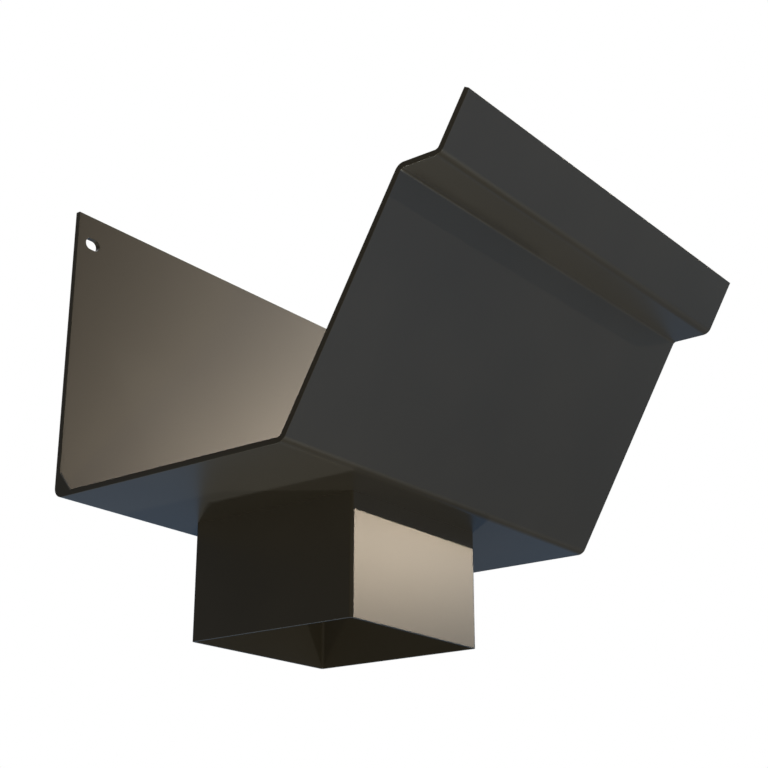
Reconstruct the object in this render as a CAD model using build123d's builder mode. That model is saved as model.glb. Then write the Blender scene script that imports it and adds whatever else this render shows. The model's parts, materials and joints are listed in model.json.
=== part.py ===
"""Running outlet for a box gutter with a stepped front, in folded sheet with a square spigot.

A short length of gutter is folded from one sheet: an upright back leg, a flat sole, a front wall that
leans out, a level step outwards and an upper lip parallel to the front wall. A square tube hangs under a
hole in the sole and takes the water down.

Lengths are in millimetres and angles in degrees. The origin is the centre of the spigot's lower end, +Z is
up, +X points to the front of the gutter and +Y runs along it.
"""
from build123d import *
from math import cos, radians, sin, tan
import os

# Folded sheet
gutter_length = 250.0
sheet_thickness = 2.8
bend_radius = 2.5            # on the inside of every fold
sole_width = 144.5           # from the back face to the sharp corner that the sole and front wall would make
back_leg_height = 152.0      # from the sole's underside
front_lean = 30.0            # of the front wall and lip, from upright
step_height = 109.5          # from the sole's underside to the underside of the step
step_width = 20.5
lip_length = 30.0

# Webs across the back corner, one at each end
web_height = 10.0            # up the back leg
web_width = 8.0              # along the sole
web_thickness = 1.0

# Slots for the fixing screws, one near each end of the back leg
slot_length = 9.0
slot_width = 6.0
slot_from_end = 10.0
slot_from_top = 15.0

# Outlet
spigot_side = 101.0
spigot_drop = 60.0           # below the sole
spigot_wall = 1.2
spigot_corner = 0.5          # inside radius of the tube's corners
spigot_setback = 72.5        # from the back face to the spigot's axis

# Levels and edges that follow
sole_z = spigot_drop
back_x = -spigot_setback
front_x = back_x + sole_width
top_z = sole_z + back_leg_height
step_z = sole_z + step_height
inner_back_x = back_x + sheet_thickness
inner_sole_z = sole_z + sheet_thickness
outer_bend = bend_radius + sheet_thickness
bore_side = spigot_side - 2 * spigot_wall
outer_corner = spigot_corner + spigot_wall


def folded_section():
    """Corners of the section's outer face, from the back leg's top to the lip's top, and their radii.

    The fold at the inner end of the step turns the other way, so there the outer face has the inside radius.
    """
    step_x = front_x + step_height * tan(radians(front_lean))
    lip_x = step_x + step_width
    corners = [
        (back_x, top_z),
        (back_x, sole_z),
        (front_x, sole_z),
        (step_x, step_z),
        (lip_x, step_z),
        (lip_x + lip_length * sin(radians(front_lean)), step_z + lip_length * cos(radians(front_lean))),
    ]
    radii = [outer_bend, outer_bend, bend_radius, outer_bend]
    return corners, radii


# Gutter section: the outer face is drawn once and given the sheet's thickness towards the inside
with BuildPart() as gutter_section:
    with BuildSketch(Plane.XZ):
        with BuildLine():
            outer_face, fold_radii = folded_section()
            FilletPolyline(*outer_face, radius=fold_radii)
            offset(amount=sheet_thickness, side=Side.LEFT, closed=True)
        make_face()
    extrude(amount=gutter_length / 2, both=True)

    # Triangular webs, flush with the two ends
    near_end = Plane.XZ.offset(gutter_length / 2)
    far_web = Plane.XZ.offset(web_thickness - gutter_length / 2)
    with BuildSketch(near_end, far_web):
        Polygon(
            (inner_back_x, inner_sole_z),
            (inner_back_x + web_width, inner_sole_z),
            (inner_back_x, inner_sole_z + web_height),
            align=None,
        )
    extrude(amount=-web_thickness)

    # Hole in the sole, as wide as the spigot's bore
    with BuildSketch(Plane.XY.offset(sole_z)):
        RectangleRounded(bore_side, bore_side, spigot_corner)
    extrude(amount=sheet_thickness, mode=Mode.SUBTRACT)

    # Slots along the gutter, so that the sheet can grow with heat past its screws
    with BuildSketch(Plane.YZ.offset(back_x)):
        slot_y = gutter_length / 2 - slot_from_end
        with Locations((-slot_y, top_z - slot_from_top), (slot_y, top_z - slot_from_top)):
            SlotOverall(slot_length, slot_width)
    extrude(amount=sheet_thickness, mode=Mode.SUBTRACT)

# Outlet spigot: an open square tube whose upper end is welded to the sole's underside
with BuildPart() as outlet_spigot:
    with BuildSketch():
        RectangleRounded(spigot_side, spigot_side, outer_corner)
        RectangleRounded(bore_side, bore_side, spigot_corner, mode=Mode.SUBTRACT)
    extrude(amount=spigot_drop)

gutter_section.part.label = "gutter_section"
outlet_spigot.part.label = "outlet_spigot"

os.makedirs("parts", exist_ok=True)
export_step(gutter_section.part, "parts/gutter_section.step")
export_step(outlet_spigot.part, "parts/outlet_spigot.step")
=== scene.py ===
"""Looks of a running outlet for a box gutter: folded sheet and a square spigot in satin powder coat.

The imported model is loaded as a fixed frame, and each finished piece takes its place from it. The gutter is
one sheet folded along its length, modelled as a flat blank that is carried round the section's bends.
Lengths are in metres, and a number times MM is a length in millimetres.
"""
import json
from math import cos, radians, sin, tan

import bmesh
import bpy
import numpy as np
from bpy.props import FloatProperty, FloatVectorProperty, IntProperty, PointerProperty
from mathutils import Euler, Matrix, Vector


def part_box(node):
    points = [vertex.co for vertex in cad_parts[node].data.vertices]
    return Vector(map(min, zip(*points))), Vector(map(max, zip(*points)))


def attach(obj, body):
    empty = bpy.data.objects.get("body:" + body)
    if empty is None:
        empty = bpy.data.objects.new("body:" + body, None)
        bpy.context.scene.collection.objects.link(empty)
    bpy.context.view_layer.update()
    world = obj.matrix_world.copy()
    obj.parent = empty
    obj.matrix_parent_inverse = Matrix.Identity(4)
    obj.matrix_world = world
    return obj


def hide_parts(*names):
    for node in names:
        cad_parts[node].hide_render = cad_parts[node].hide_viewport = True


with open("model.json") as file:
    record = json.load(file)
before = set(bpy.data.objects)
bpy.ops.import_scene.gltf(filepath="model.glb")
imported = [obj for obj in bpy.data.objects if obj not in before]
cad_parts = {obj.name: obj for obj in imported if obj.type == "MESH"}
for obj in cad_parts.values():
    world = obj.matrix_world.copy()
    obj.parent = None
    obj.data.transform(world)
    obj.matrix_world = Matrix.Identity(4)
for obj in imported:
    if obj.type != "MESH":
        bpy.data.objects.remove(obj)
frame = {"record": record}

bl_info = {
    "name": "Gutter outlet",
    "version": (1, 0, 0),
    "blender": (4, 5, 0),
    "location": "3D View > Sidebar > Outlet",
    "description": "Builds a folded gutter outlet with a square spigot, its powder coat and its studio",
    "category": "Object",
}

MM = 0.001
BODY = "root"

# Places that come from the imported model
SHEET_LOW, SHEET_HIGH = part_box("gutter_section")
SPIGOT_LOW, SPIGOT_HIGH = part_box("outlet_spigot")
MOUNTS = {mount["name"]: mount for mount in frame["record"]["mounts"]}
SLOT_DIMS = MOUNTS["fixing_slots"]["dims"]
SLOT_Z = MOUNTS["fixing_slots"]["pos_m"][2]
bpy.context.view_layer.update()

# Photograph's view: side and focal length in pixels, camera's place in metres and its turns in degrees
IMAGE_SIDE = 768
FOCAL_PIXELS = 1498.2
SENSOR = 36.0                # in millimetres, as Blender counts it
CAMERA_PLACE = (0.4722, -0.5774, -0.1367)
CAMERA_AZIMUTH = 37.417
CAMERA_TILT = 20.287

# Fineness of the meshes
SLOT_RAYS = 10               # rays to each side of the rectangle round a slot
CORNER_RAYS = 5              # rays through each half of a corner of the outlet hole
LINE_DECIMALS = 8            # of a metre, past which two grid lines are the same
POINT_DECIMALS = 7           # of a metre, past which two points are the same
MERGE_DISTANCE = 0.0001 * MM
TINY = 1e-9                  # keeps a division from meeting zero
WEB_BITE = 0.95              # share of the edge rounding by which the webs reach into the sheet
WEB_BEVEL_STEPS = 3          # facets round a web's edges
SHARP_EDGE = 30              # degrees between faces, past which an edge of a web is rounded
NORMAL_WEIGHT = 60           # pull of large faces on the normals, where 50 is even

# Patterns of the coat
PEEL_SIZE = 2.2 * MM         # length of the orange peel's waves
PEEL_HEIGHT = 0.02 * MM
GRAIN_SIZE = 0.4 * MM        # finer tooth, drawn coarser than it is
GRAIN_HEIGHT = 0.004 * MM
DRIFT_SIZE = 60 * MM         # length over which the colour drifts
DRIFT = 0.05                 # share by which it drifts, up and down
GLOSS_DRIFT = 0.02           # of the roughness, up and down with the grains
NOISE_RANGE = {"From Min": 0.3, "From Max": 0.7}    # values that noise seldom leaves


def linear(hex_colour):
    """An sRGB hex colour as linear red, green and blue, with the sRGB curve undone on each channel."""
    srgb = np.array([int(hex_colour[i:i + 2], 16) for i in (1, 3, 5)]) / 255
    return tuple(np.where(srgb <= 0.04045, srgb / 12.92, ((srgb + 0.055) / 1.055) ** 2.4))


class FoldedSheetSizes(bpy.types.PropertyGroup):
    """Sizes of the folded gutter section."""

    thickness: FloatProperty(name="Sheet thickness", description="Metal and coat together",
                             default=2.8 * MM, min=0.5 * MM, subtype="DISTANCE", unit="LENGTH")
    bend_radius: FloatProperty(name="Bend radius", description="On the inside of every fold",
                               default=2.5 * MM, min=0.1 * MM, subtype="DISTANCE", unit="LENGTH")
    sole_width: FloatProperty(name="Sole width", description="From the back face to the sharp front corner",
                              default=144.5 * MM, subtype="DISTANCE", unit="LENGTH")
    front_lean: FloatProperty(name="Front lean", description="Of the front wall and the lip, from upright",
                              default=radians(30), subtype="ANGLE", unit="ROTATION")
    step_height: FloatProperty(name="Step height", description="From the sole's underside to the step's",
                               default=109.5 * MM, subtype="DISTANCE", unit="LENGTH")
    step_width: FloatProperty(name="Step width", description="Level part between front wall and lip",
                              default=20.5 * MM, subtype="DISTANCE", unit="LENGTH")
    lip_length: FloatProperty(name="Lip length", description="Along the lip's slope",
                              default=30 * MM, subtype="DISTANCE", unit="LENGTH")
    edge_round: FloatProperty(name="Edge rounding", description="Coat rounded over the cut edges",
                              default=0.2 * MM, min=0.05 * MM, subtype="DISTANCE", unit="LENGTH")
    edge_steps: IntProperty(name="Steps in an edge", description="Facets round each cut edge",
                            default=4, min=2)
    bend_steps: IntProperty(name="Steps in a bend", description="Facets round each fold",
                            default=20, min=4)
    hole_margin: FloatProperty(name="Margin of holes", description="Rings of faces round each hole",
                               default=2.5 * MM, min=1 * MM, subtype="DISTANCE", unit="LENGTH")
    web_height: FloatProperty(name="Web height", description="Of the corner webs, up the back leg",
                              default=10 * MM, subtype="DISTANCE", unit="LENGTH")
    web_width: FloatProperty(name="Web width", description="Of the corner webs, along the sole",
                             default=8 * MM, subtype="DISTANCE", unit="LENGTH")
    web_thickness: FloatProperty(name="Web thickness", description="Of the corner webs, along the gutter",
                                 default=1 * MM, subtype="DISTANCE", unit="LENGTH")


class SpigotSizes(bpy.types.PropertyGroup):
    """Sizes of the square spigot that its box doesn't give."""

    wall: FloatProperty(name="Wall", description="Thickness of the tube's wall",
                        default=1.2 * MM, min=0.5 * MM, subtype="DISTANCE", unit="LENGTH")
    inner_corner: FloatProperty(name="Inner corner",
                                description="Inside radius of the tube's corners, with their weld",
                                default=1.5 * MM, min=0.1 * MM, subtype="DISTANCE", unit="LENGTH")
    outer_corner: FloatProperty(name="Outer corner", description="Outside radius of the tube's corners",
                                default=1.7 * MM, min=0.1 * MM, subtype="DISTANCE", unit="LENGTH")
    rim_round: FloatProperty(name="Rim rounding", description="Coat rounded over the open lower rim",
                             default=0.2 * MM, min=0.05 * MM, subtype="DISTANCE", unit="LENGTH")
    arc_steps: IntProperty(name="Steps in an arc", description="Facets round corners and rims",
                           default=10, min=3)


class CoatFinish(bpy.types.PropertyGroup):
    """The powder coat's colour and gloss."""

    colour: FloatVectorProperty(name="Colour", description="Dark warm bronze of the coat",
                                default=linear("#34312D"), min=0, max=1, subtype="COLOR")
    roughness: FloatProperty(name="Roughness", description="Satin gloss of the cured coat",
                             default=0.325, min=0, max=1, subtype="FACTOR")


class StudioSettings(bpy.types.PropertyGroup):
    """Floor and lamps round the outlet."""

    floor_drop: FloatProperty(name="Floor drop", description="How far the floor is below the spigot's rim",
                              default=0.9, subtype="DISTANCE", unit="LENGTH")
    floor_colour: FloatVectorProperty(name="Floor colour", description="Pale paper",
                                      default=linear("#F4F4F2"), min=0, max=1, subtype="COLOR")
    fill_colour: FloatVectorProperty(name="Fill light", description="Even light from all around",
                                     default=(0.2, 0.2, 0.2), min=0, max=1, subtype="COLOR")


def add_node(tree, kind, inputs=None, **settings):
    """One node of that kind, with its settings, and its inputs set to values or linked from sockets."""
    node = tree.nodes.new(kind)
    for name, value in settings.items():
        setattr(node, name, value)
    for name, value in (inputs or {}).items():
        if isinstance(value, bpy.types.NodeSocket):
            tree.links.new(value, node.inputs[name])
        else:
            node.inputs[name].default_value = value
    return node


def empty_tree(owner):
    """The node tree of a new material or world, without the nodes that Blender puts in it."""
    owner.use_nodes = True
    owner.node_tree.nodes.clear()
    return owner.node_tree


def satin_powder_coat(finish):
    """Polyester powder coat, sprayed and oven-cured: a dark, warm film with a low gloss.

    The powder melts to a slightly wavy skin, the orange peel, which breaks reflections up softly. Its waves
    are 1.5 to 3 mm long and a few thousandths of a millimetre high. Grains that melted less leave a finer
    tooth, drawn coarser than it is, so that it shows. The colour drifts by up to 5 percent, as the film's
    thickness does.
    """
    material = bpy.data.materials.new("satin_powder_coat")
    tree = empty_tree(material)
    place = add_node(tree, "ShaderNodeTexCoord").outputs["Object"]
    peel = add_node(tree, "ShaderNodeTexNoise", {"Vector": place, "Scale": 1 / PEEL_SIZE, "Detail": 1.5})
    tooth = add_node(tree, "ShaderNodeTexNoise", {"Vector": place, "Scale": 1 / GRAIN_SIZE, "Detail": 1})
    drift = add_node(tree, "ShaderNodeTexNoise", {"Vector": place, "Scale": 1 / DRIFT_SIZE, "Detail": 2})
    shade = add_node(tree, "ShaderNodeMapRange",
                     {"Value": drift.outputs["Fac"], **NOISE_RANGE,
                      "To Min": 1 - DRIFT, "To Max": 1 + DRIFT})
    colour = add_node(tree, "ShaderNodeVectorMath",
                      {0: tuple(finish.colour), 1: shade.outputs["Result"]}, operation="MULTIPLY")
    gloss = add_node(tree, "ShaderNodeMapRange",
                     {"Value": tooth.outputs["Fac"], **NOISE_RANGE,
                      "To Min": finish.roughness - GLOSS_DRIFT, "To Max": finish.roughness + GLOSS_DRIFT})
    waves = add_node(tree, "ShaderNodeBump",
                     {"Height": peel.outputs["Fac"], "Strength": 0.25, "Distance": PEEL_HEIGHT})
    grains = add_node(tree, "ShaderNodeBump",
                      {"Height": tooth.outputs["Fac"], "Normal": waves.outputs["Normal"],
                       "Strength": 0.2, "Distance": GRAIN_HEIGHT})
    surface = add_node(tree, "ShaderNodeBsdfPrincipled",
                       {"Base Color": colour.outputs["Vector"], "Roughness": gloss.outputs["Result"],
                        "IOR": 1.5, "Normal": grains.outputs["Normal"]})
    add_node(tree, "ShaderNodeOutputMaterial", {"Surface": surface.outputs["BSDF"]})
    return material


def coat_material():
    """The powder coat, made once and shared by every piece."""
    return bpy.data.materials.get("satin_powder_coat") or satin_powder_coat(bpy.context.scene.outlet_coat)


def grid_quads(rows, columns, closed_rows=False, closed_columns=False):
    """Corner numbers of the quads between neighbouring points of a grid, numbered row by row."""
    i, j = np.meshgrid(np.arange(rows if closed_rows else rows - 1),
                       np.arange(columns if closed_columns else columns - 1), indexing="ij")
    i, j = i.ravel(), j.ravel()
    i_next, j_next = (i + 1) % rows, (j + 1) % columns
    return np.stack([i * columns + j, i * columns + j_next, i_next * columns + j_next,
                     i_next * columns + j], axis=1)


def make_mesh(name, points, faces):
    """A mesh from an array of points and its faces, with points closer than the merging distance joined."""
    mesh = bpy.data.meshes.new(name)
    mesh.from_pydata(points.tolist(), [], [list(face) for face in faces])
    work = bmesh.new()
    work.from_mesh(mesh)
    bmesh.ops.remove_doubles(work, verts=work.verts, dist=MERGE_DISTANCE)
    work.to_mesh(mesh)
    work.free()
    return mesh


def add_object(name, data):
    """A new object with that mesh, lamp or camera, put into the scene."""
    thing = bpy.data.objects.new(name, data)
    bpy.context.scene.collection.objects.link(thing)
    return thing


def add_piece(mesh, *replaced):
    """An object for the mesh, coated, riding on the outlet's body and standing for the named nodes."""
    piece = add_object(mesh.name, mesh)
    mesh.materials.append(coat_material())
    mesh.shade_smooth()
    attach(piece, BODY)
    if replaced:
        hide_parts(*replaced)
    return piece


def keep_flats(piece):
    """Weights the piece's normals by the size of its faces, so that flats beside rounded edges look flat."""
    shading = piece.modifiers.new("normals_by_face_size", "WEIGHTED_NORMAL")
    shading.weight = NORMAL_WEIGHT


def rounded_line(corners, radii, steps):
    """Points along a line of straight runs, with an arc of the given radius at each inner corner.

    Where the direction turns by an angle a, an arc of radius r touches both runs, r tan(a/2) before and
    after the corner. Its points are start + r (sin t, 1 - cos t), along the run and across it, and its
    direction is (cos t, sin t), for t from 0 to a. Gives the points and the unit vectors to the left of
    the line.
    """
    corners = np.array(corners, float)
    runs = np.diff(corners, axis=0)
    runs /= np.linalg.norm(runs, axis=1)[:, None]
    points, directions = [corners[:1]], [runs[:1]]
    for corner, along, onward, radius in zip(corners[1:], runs, runs[1:], radii):
        turn = np.arctan2(along[0] * onward[1] - along[1] * onward[0], along @ onward)
        side = np.sign(turn) * np.array([-along[1], along[0]])
        t = np.linspace(0, abs(turn), steps + 1)
        start = corner - along * radius * tan(abs(turn) / 2)
        points.append(start + radius * (np.outer(np.sin(t), along) + np.outer(1 - np.cos(t), side)))
        directions.append(np.outer(np.cos(t), along) + np.outer(np.sin(t), side))
    points = np.concatenate([*points, corners[-1:]])
    directions = np.concatenate([*directions, runs[-1:]])
    return points, np.stack([-directions[:, 1], directions[:, 0]], axis=1)


def section_corners(sizes):
    """Corners (x, z) of the section's outer face, from the back leg's top to the lip's top."""
    back, sole, top = SHEET_LOW.x, SHEET_LOW.z, SHEET_HIGH.z
    front = back + sizes.sole_width
    step = sole + sizes.step_height
    step_in = front + sizes.step_height * tan(sizes.front_lean)
    step_out = step_in + sizes.step_width
    lip_out = step_out + sizes.lip_length * sin(sizes.front_lean)
    lip_top = step + sizes.lip_length * cos(sizes.front_lean)
    return [(back, top), (back, sole), (front, sole), (step_in, step), (step_out, step), (lip_out, lip_top)]


def edge_distances(sizes):
    """Distances from a cut edge at which the quarter circle over it has its points."""
    t = np.linspace(0, np.pi / 2, sizes.edge_steps + 1)
    return sizes.edge_round * (1 - np.cos(t))


def hole_rings(centre, half_sides, corner, margin, spread, distances):
    """Rings of quads from a hole with rounded corners out to a rectangle, for the flat blank.

    The rectangle stands a margin off, and the spread divides its sides. A ray from the centre to one of its
    points, in the unit direction p, leaves the hole through a side, or else through a corner's circle about
    c, at the length p.c + sqrt((p.c)^2 - c.c + corner^2), where the dots are scalar products. The outline's
    normal there points away from the nearest point of the rectangle that the corners' centres make, and the
    rings near the hole lie at the given distances along it. Gives the points (u, v), their distance from
    the edge, and the quads.
    """
    half_sides = np.array(half_sides, float)
    one = np.ones(len(spread))
    outer = np.stack([np.concatenate([spread, one, -spread, -one]),
                      np.concatenate([-one, spread, one, -spread])], axis=1) * (half_sides + margin)
    ray = outer / np.linalg.norm(outer, axis=1)[:, None]
    core = half_sides - corner
    to_sides = half_sides / np.maximum(np.abs(ray), TINY)
    first = to_sides.argmin(axis=1)
    reach = to_sides.min(axis=1)
    across = np.take_along_axis(np.abs(ray), 1 - first[:, None], axis=1)[:, 0] * reach
    through_corner = across > core[1 - first]
    towards_core = np.abs(ray) @ core
    to_corner = towards_core + np.sqrt(np.maximum(towards_core ** 2 - core @ core + corner ** 2, 0))
    outline = ray * np.where(through_corner, to_corner, reach)[:, None]
    normal = outline - np.clip(outline, -core, core)
    normal /= np.linalg.norm(normal, axis=1)[:, None]
    rows = [outline + normal * distance for distance in distances] + [outer]
    points = np.concatenate(rows) + centre
    edge = np.repeat([*distances, margin], len(outer))
    return points, edge, grid_quads(len(rows), len(outer), closed_columns=True)


def border_edges(quads):
    """Edges, as corner numbers in the quads' own direction, that belong to one quad only."""
    edges = np.concatenate([quads[:, [i, (i + 1) % 4]] for i in range(4)])
    _, first, count = np.unique(np.sort(edges, axis=1), axis=0, return_index=True, return_counts=True)
    return edges[first[count == 1]]


def flat_blank(sizes, run, axis_u, bore, bore_corner):
    """The flat blank of the sheet: points (u, v), their distance from the nearest cut edge, and quads.

    u runs down the back leg, along the sole and up the front wall to the lip's top, and v along the gutter.
    The cells of a grid that lie round a hole are left out, and rings of quads fit the hole in their place.
    """
    half_gutter = SHEET_HIGH.y
    near_edges = edge_distances(sizes)
    even = np.arange(SLOT_RAYS) * 2 / SLOT_RAYS - 1
    # Rays that pass the bore's corners need a finer division there
    turn = bore_corner / (bore + sizes.hole_margin) * np.linspace(0, 1, CORNER_RAYS)
    by_corners = np.concatenate([turn - 1, 1 - turn[:0:-1]])
    slot_sides = (SLOT_DIMS["hole_r_mm"] * MM, SLOT_DIMS["slot_length_mm"] * MM / 2)
    slot_u, slot_v = SHEET_HIGH.z - SLOT_Z, SLOT_DIMS["spacing_x_mm"] * MM / 2
    holes = (
        ((axis_u, 0), (bore, bore), bore_corner, by_corners),
        ((slot_u, -slot_v), slot_sides, slot_sides[0], even),
        ((slot_u, slot_v), slot_sides, slot_sides[0], even),
    )

    u_lines = [run, near_edges, run[-1] - near_edges]
    v_lines = [near_edges - half_gutter, half_gutter - near_edges]
    for centre, sides, corner, spread in holes:
        u_lines.append(centre[0] + np.append(spread, 1) * (sides[0] + sizes.hole_margin))
        v_lines.append(centre[1] + np.append(spread, 1) * (sides[1] + sizes.hole_margin))
    u_lines = np.unique(np.round(np.concatenate(u_lines), LINE_DECIMALS))
    v_lines = np.unique(np.round(np.concatenate(v_lines), LINE_DECIMALS))
    points = np.stack(np.meshgrid(u_lines, v_lines, indexing="ij"), axis=-1).reshape(-1, 2)
    edge = np.minimum(np.minimum(points[:, 0], run[-1] - points[:, 0]), half_gutter - np.abs(points[:, 1]))
    quads = grid_quads(len(u_lines), len(v_lines))

    for centre, sides, corner, spread in holes:
        middle = points[quads].mean(axis=1)
        inside = np.all(np.abs(middle - centre) < np.array(sides) + sizes.hole_margin, axis=1)
        quads = quads[~inside]
        ring_points, ring_edge, ring_quads = hole_rings(centre, sides, corner, sizes.hole_margin,
                                                        spread, near_edges)
        quads = np.concatenate([quads, ring_quads + len(points)])
        points, edge = np.concatenate([points, ring_points]), np.concatenate([edge, ring_edge])
    rounded = np.round(points, POINT_DECIMALS)
    _, kept, number = np.unique(rounded, axis=0, return_index=True, return_inverse=True)
    return points[kept], edge[kept], number.ravel()[quads]


def folded_sheet(sizes, bore, bore_corner):
    """The folded sheet: the blank carried round the bends, as an outer and an inner face and their edges.

    A point of the blank lands at S(u) + w N(u), y = v. S is the section's outer line, N its unit normal
    towards the inside, and w the depth in the sheet, so that the two radii of every bend share one centre.
    Away from the edges, w is 0 on the outer face and the sheet's thickness on the inner one. At a distance
    d from an edge that is less than the rounding r, both faces turn in by r - sqrt(r^2 - (r - d)^2).
    """
    outer = sizes.bend_radius + sizes.thickness
    radii = [outer, outer, sizes.bend_radius, outer]
    line, inward = rounded_line(section_corners(sizes), radii, sizes.bend_steps)
    run = np.concatenate([[0], np.cumsum(np.hypot(*np.diff(line, axis=0).T))])
    sole_start = sizes.bend_steps + 1
    axis_u = run[sole_start] - line[sole_start, 0]
    blank, edge, quads = flat_blank(sizes, run, axis_u, bore, bore_corner)
    u, v = blank.T
    r = sizes.edge_round
    turned_in = r - np.sqrt(r ** 2 - np.clip(r - edge, 0, r) ** 2)
    x, z, inward_x, inward_z = (np.interp(u, run, values) for values in (*line.T, *inward.T))
    faces = [np.stack([x + w * inward_x, v, z + w * inward_z], axis=1)
             for w in (turned_in, sizes.thickness - turned_in)]
    border = border_edges(quads)
    count = len(u)
    walls = np.stack([border[:, 1], border[:, 0], border[:, 0] + count, border[:, 1] + count], axis=1)
    return np.concatenate(faces), np.concatenate([quads, quads[:, ::-1] + count, walls])


class OUTLET_OT_folded_section(bpy.types.Operator):
    """Build the folded sheet of the gutter, with its outlet hole and fixing slots"""

    bl_idname = "outlet.folded_section"
    bl_label = "Folded section"

    def execute(self, context):
        sizes = context.scene.outlet_sheet
        spigot = context.scene.outlet_spigot
        points, quads = folded_sheet(sizes, SPIGOT_HIGH.x - spigot.wall, spigot.inner_corner)
        keep_flats(add_piece(make_mesh("folded_section", points, quads), "gutter_section"))
        return {"FINISHED"}


def web_profile(sizes):
    """Outline (x, z) of a corner web: two legs set into the sheet's inside faces and a sloping free edge.

    The legs lie a hair inside the metal, so that the web's end closes the groove of the rounded sheet edge,
    and their corner is an arc about the centre of the bend.
    """
    inset = sizes.edge_round * WEB_BITE
    x, z = SHEET_LOW.x + sizes.thickness, SHEET_LOW.z + sizes.thickness
    slope = sizes.web_height / sizes.web_width
    turn = np.linspace(np.pi, 1.5 * np.pi, sizes.bend_steps)
    arc = (sizes.bend_radius + inset) * np.stack([np.cos(turn), np.sin(turn)], axis=1)
    corner = np.array([x, z]) + sizes.bend_radius + arc
    top = (x - inset, z + sizes.web_height + inset * slope)
    toe = (x + sizes.web_width + inset / slope, z - inset)
    return np.concatenate([[top], corner, [toe]])


class OUTLET_OT_corner_webs(bpy.types.Operator):
    """Build the small triangular webs across the back corner, one flush with each end"""

    bl_idname = "outlet.corner_webs"
    bl_label = "Corner webs"

    def execute(self, context):
        sizes = context.scene.outlet_sheet
        outline = web_profile(sizes)
        count = len(outline)
        thickness = sizes.web_thickness
        starts = {"corner_web_near": SHEET_LOW.y, "corner_web_far": SHEET_HIGH.y - thickness}
        for name, start in starts.items():
            ends = (start, start + thickness)
            points = np.concatenate([np.insert(outline, 1, y, axis=1) for y in ends])
            walls = grid_quads(2, count, closed_columns=True)[:, ::-1]
            caps = [np.arange(count), np.arange(count, 2 * count)[::-1]]
            web = add_piece(make_mesh(name, points, [*walls, *caps]))
            bevel = web.modifiers.new("coat_over_edges", "BEVEL")
            bevel.width = sizes.edge_round / 2
            bevel.segments = WEB_BEVEL_STEPS
            bevel.angle_limit = radians(SHARP_EDGE)
            keep_flats(web)
        return {"FINISHED"}


def square_ring(half_side, radius, steps):
    """Points (x, y) round a square with rounded corners, anticlockwise.

    Each corner's arc is centre + radius (cos t, sin t), over a quarter turn. A straight side needs no more
    points than the ends of its two arcs.
    """
    t = np.concatenate([np.linspace(0, np.pi / 2, steps + 1) + corner * np.pi / 2 for corner in range(4)])
    quarter = np.repeat(np.arange(4), steps + 1) * np.pi / 2 + np.pi / 4
    centre = np.sign(np.stack([np.cos(quarter), np.sin(quarter)], axis=1)) * (half_side - radius)
    return centre + radius * np.stack([np.cos(t), np.sin(t)], axis=1)


def wall_profile(sizes, low, high):
    """Outline (share of the wall out from the bore, z) of the tube's wall, from its upper inner edge round.

    The open rim has a quarter circle on each edge. The upper end is square, and stands on the sole.
    """
    t = np.linspace(0, np.pi / 2, sizes.arc_steps + 1)
    r, wall = sizes.rim_round, sizes.wall
    inner = np.stack([(r - r * np.cos(t)) / wall, low + r - r * np.sin(t)], axis=1)
    outer = np.stack([1 - (r - r * np.sin(t)) / wall, low + r - r * np.cos(t)], axis=1)
    return np.concatenate([[(0, high)], inner, outer, [(1, high)]])


class OUTLET_OT_square_spigot(bpy.types.Operator):
    """Build the open square tube that hangs under the sole"""

    bl_idname = "outlet.square_spigot"
    bl_label = "Square spigot"

    def execute(self, context):
        sizes = context.scene.outlet_spigot
        bore = square_ring(SPIGOT_HIGH.x - sizes.wall, sizes.inner_corner, sizes.arc_steps)
        outside = square_ring(SPIGOT_HIGH.x, sizes.outer_corner, sizes.arc_steps)
        profile = wall_profile(sizes, SPIGOT_LOW.z, SPIGOT_HIGH.z)
        # A point lies its share of the way from the bore's ring to the outside's, at its height
        plan = bore[:, None, :] + (outside - bore)[:, None, :] * profile[None, :, :1]
        height = np.broadcast_to(profile[None, :, 1:], (*plan.shape[:2], 1))
        points = np.concatenate([plan, height], axis=2).reshape(-1, 3)
        quads = grid_quads(len(bore), len(profile), closed_rows=True, closed_columns=True)[:, ::-1]
        mesh = make_mesh("square_spigot", points, quads)
        keep_flats(add_piece(mesh, "outlet_spigot"))
        return {"FINISHED"}


def towards(azimuth, elevation):
    """Unit vector at an azimuth from +X towards +Y and an elevation above level, in degrees."""
    a, e = radians(azimuth), radians(elevation)
    return Vector((cos(a) * cos(e), sin(a) * cos(e), sin(e)))


def add_lamp(name, azimuth, elevation, strength, colour, angle, glints):
    """A distant lamp that shines from that direction, with the apparent size of a soft box."""
    data = bpy.data.lights.new(name, "SUN")
    data.energy = strength
    data.color = colour
    data.angle = radians(angle)
    lamp = add_object(name, data)
    lamp.rotation_euler = towards(azimuth, elevation).to_track_quat("Z", "Y").to_euler()
    lamp.visible_glossy = glints


# Colours of the light: warm daylight from the front, a blue sky round it, and white for the unseen sides
WARM_WHITE = "#FFEACE"
GOLDEN = "#FFDFB0"
CREAM = "#FFF2BE"
NEAR_WHITE = "#FDFEF3"
PALE_SKY = "#C8E6FF"
SKY = "#88C2FF"
WHITE = "#FFFFFF"

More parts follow.
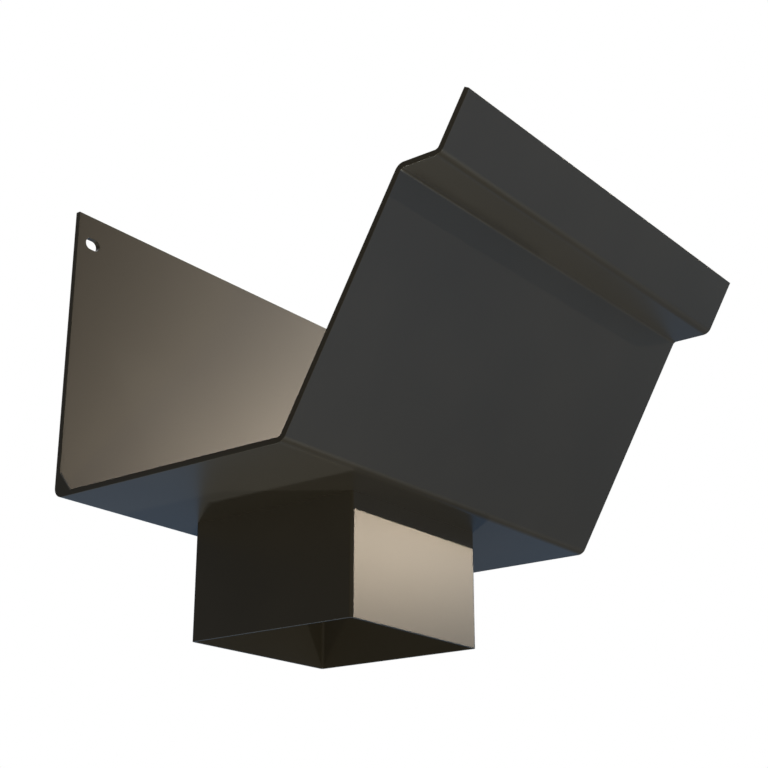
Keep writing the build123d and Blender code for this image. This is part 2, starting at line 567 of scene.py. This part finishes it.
# Lamps: name, azimuth and elevation of where it stands, strength, colour, apparent size in degrees, and
# whether it glints in the coat. The photograph shows no glint of the near lamp on the cut edges, and the
# top lamp is there to light the floor.
LAMPS = (
    ("key_lamp", 52.1, 15.5, 0.55, WARM_WHITE, 0.6, True),
    ("low_front_lamp", 35.8, -45.0, 0.9, NEAR_WHITE, 3.0, True),
    ("low_back_lamp", 141.5, -57.2, 0.95, NEAR_WHITE, 3.0, True),
    ("low_near_lamp", -38.0, -35.0, 1.5, CREAM, 5.0, False),
    ("low_side_lamp", -114.0, -32.0, 0.25, CREAM, 4.0, True),
    ("top_lamp", 140.0, 67.0, 2.4, WHITE, 8.0, False),
)

# Soft boxes of the room: azimuth and elevation of the middle, half-width in degrees, colour, strength.
# The white ones stand where the photograph's view has no reflections, and light the other sides.
SOFT_BOXES = (
    (62, 32, 16, GOLDEN, 2.4),
    (52, 46, 30, GOLDEN, 0.2),
    (74, 26, 30, PALE_SKY, 1.45),
    (30, -14, 30, SKY, 0.55),
    (74, -14, 30, SKY, 0.15),
    (104, 4, 30, SKY, 0.4),
    (126, -36, 30, SKY, 0.25),
    (148, 4, 30, SKY, 0.4),
    (-149, 6, 30, SKY, 0.12),
    (0, 88, 45, WHITE, 0.9),
    (140, 44, 32, WHITE, 1.3),
    (-165, 56, 28, WHITE, 1.1),
    (-140, -32, 32, WHITE, 0.4),
    (-60, -56, 34, WHITE, 0.6),
    (-60, 40, 32, WHITE, 0.5),
)
ROOM_RADIUS = 3.0
ROOM_STEPS = 32              # faces from the room's lowest point to its highest
FLOOR_HALF = 6.0             # half the floor's side


def room_mesh():
    """A sphere facing inwards: (cos a cos e, sin a cos e, sin e) over azimuths a and elevations e."""
    a, e = np.meshgrid(np.linspace(0, 2 * np.pi, 2 * ROOM_STEPS + 1)[:-1],
                       np.linspace(-np.pi / 2, np.pi / 2, ROOM_STEPS + 1))
    points = ROOM_RADIUS * np.stack([np.cos(a) * np.cos(e), np.sin(a) * np.cos(e), np.sin(e)], axis=-1)
    quads = grid_quads(*a.shape, closed_columns=True)[:, ::-1]
    return make_mesh("reflected_room", points.reshape(-1, 3), quads)


def add_room(boxes):
    """The dim room that only reflections see, a closed shell round the outlet.

    A soft box glows most in its middle and fades to nothing at its half-width: its light is a smooth step
    of the cosine of the angle between its middle and the direction seen.
    """
    material = bpy.data.materials.new("dim_room_with_soft_boxes")
    tree = empty_tree(material)
    place = add_node(tree, "ShaderNodeTexCoord").outputs["Object"]
    direction = add_node(tree, "ShaderNodeVectorMath", {0: place}, operation="NORMALIZE").outputs["Vector"]
    light = (0, 0, 0)
    for azimuth, elevation, half_width, colour, strength in boxes:
        middle = tuple(towards(azimuth, elevation))
        cosine = add_node(tree, "ShaderNodeVectorMath", {0: direction, 1: middle}, operation="DOT_PRODUCT")
        glow = add_node(tree, "ShaderNodeMapRange",
                        {"Value": cosine.outputs["Value"],
                         "From Min": cos(radians(half_width)), "From Max": 1},
                        interpolation_type="SMOOTHSTEP")
        tint = tuple(strength * channel for channel in linear(colour))
        light = add_node(tree, "ShaderNodeVectorMath", {0: glow.outputs["Result"], 1: tint, 2: light},
                         operation="MULTIPLY_ADD").outputs["Vector"]
    shine = add_node(tree, "ShaderNodeEmission", {"Color": light})
    add_node(tree, "ShaderNodeOutputMaterial", {"Surface": shine.outputs["Emission"]})
    mesh = room_mesh()
    mesh.materials.append(material)
    room = add_object("reflected_room", mesh)
    room.visible_camera = False
    room.visible_diffuse = False
    room.visible_transmission = False
    room.visible_shadow = False


def white_world(settings):
    """A world that is white where it is seen, and lights the outlet with a dim, even glow."""
    world = bpy.data.worlds.new("white_studio")
    bpy.context.scene.world = world
    tree = empty_tree(world)
    rays = add_node(tree, "ShaderNodeLightPath").outputs
    direct = add_node(tree, "ShaderNodeMath", {0: rays["Is Camera Ray"], 1: rays["Is Glossy Ray"]},
                      operation="MAXIMUM")
    seen = add_node(tree, "ShaderNodeMath", {0: direct.outputs["Value"], 1: rays["Is Transmission Ray"]},
                    operation="MAXIMUM")
    fill = add_node(tree, "ShaderNodeBackground", {"Color": (*settings.fill_colour, 1)})
    white = add_node(tree, "ShaderNodeBackground", {"Color": (1, 1, 1, 1)})
    glow = add_node(tree, "ShaderNodeMixShader", {0: seen.outputs["Value"], 1: fill.outputs["Background"],
                                                  2: white.outputs["Background"]})
    add_node(tree, "ShaderNodeOutputWorld", {"Surface": glow.outputs["Shader"]})


def add_floor(settings):
    """A wide floor of pale paper, well below the camera.

    It keeps the outlet's shadow, and lets the light of the lamps that stand under it pass.
    """
    low = -settings.floor_drop
    corners = [(x * FLOOR_HALF, y * FLOOR_HALF, low) for x, y in ((-1, -1), (1, -1), (1, 1), (-1, 1))]
    mesh = bpy.data.meshes.new("floor")
    mesh.from_pydata(corners, [], [(0, 1, 2, 3)])
    material = bpy.data.materials.new("matt_pale_paper")
    material.use_nodes = True
    paper = material.node_tree.nodes["Principled BSDF"]
    paper.inputs["Base Color"].default_value = (*settings.floor_colour, 1)
    paper.inputs["Roughness"].default_value = 0.9
    mesh.materials.append(material)
    floor = add_object("floor", mesh)
    floor.visible_shadow = False
    floor.visible_diffuse = False
    floor.visible_glossy = False


def add_camera():
    """The camera, at the photograph's place and angle and with its perspective."""
    data = bpy.data.cameras.new("photo_camera")
    data.sensor_width = SENSOR
    data.lens = FOCAL_PIXELS / IMAGE_SIDE * SENSOR
    camera = add_object("photo_camera", data)
    camera.location = CAMERA_PLACE
    camera.rotation_euler = Euler((radians(90 + CAMERA_TILT), 0, radians(CAMERA_AZIMUTH)))
    bpy.context.scene.camera = camera


class OUTLET_OT_studio(bpy.types.Operator):
    """Set up the floor, the lamps, the reflected room and the camera at the photograph's angle"""

    bl_idname = "outlet.studio"
    bl_label = "Studio"

    def execute(self, context):
        settings = context.scene.outlet_studio
        context.scene.view_settings.view_transform = "Standard"
        add_floor(settings)
        white_world(settings)
        for name, azimuth, elevation, strength, colour, angle, glints in LAMPS:
            add_lamp(name, azimuth, elevation, strength, linear(colour), angle, glints)
        add_room(SOFT_BOXES)
        add_camera()
        return {"FINISHED"}


class OUTLET_PT_panel(bpy.types.Panel):
    """Lists the outlet's pieces and their sizes"""

    bl_idname = "OUTLET_PT_panel"
    bl_label = "Gutter outlet"
    bl_space_type = "VIEW_3D"
    bl_region_type = "UI"
    bl_category = "Outlet"

    def draw(self, context):
        groups = (
            (context.scene.outlet_sheet, ("outlet.folded_section", "outlet.corner_webs")),
            (context.scene.outlet_spigot, ("outlet.square_spigot",)),
            (context.scene.outlet_coat, ()),
            (context.scene.outlet_studio, ("outlet.studio",)),
        )
        for settings, operators in groups:
            box = self.layout.box()
            for name in settings.__annotations__:
                box.prop(settings, name)
            for operator in operators:
                box.operator(operator)


SETTINGS = {
    "outlet_sheet": FoldedSheetSizes,
    "outlet_spigot": SpigotSizes,
    "outlet_coat": CoatFinish,
    "outlet_studio": StudioSettings,
}
CLASSES = (
    *SETTINGS.values(),
    OUTLET_OT_folded_section,
    OUTLET_OT_corner_webs,
    OUTLET_OT_square_spigot,
    OUTLET_OT_studio,
    OUTLET_PT_panel,
)


def register():
    for kind in CLASSES:
        bpy.utils.register_class(kind)
    for name, kind in SETTINGS.items():
        setattr(bpy.types.Scene, name, PointerProperty(type=kind))


def unregister():
    for name in SETTINGS:
        delattr(bpy.types.Scene, name)
    for kind in reversed(CLASSES):
        bpy.utils.unregister_class(kind)


def main():
    register()
    bpy.ops.outlet.folded_section()
    bpy.ops.outlet.corner_webs()
    bpy.ops.outlet.square_spigot()
    bpy.ops.outlet.studio()


if __name__ == "__main__":
    main()
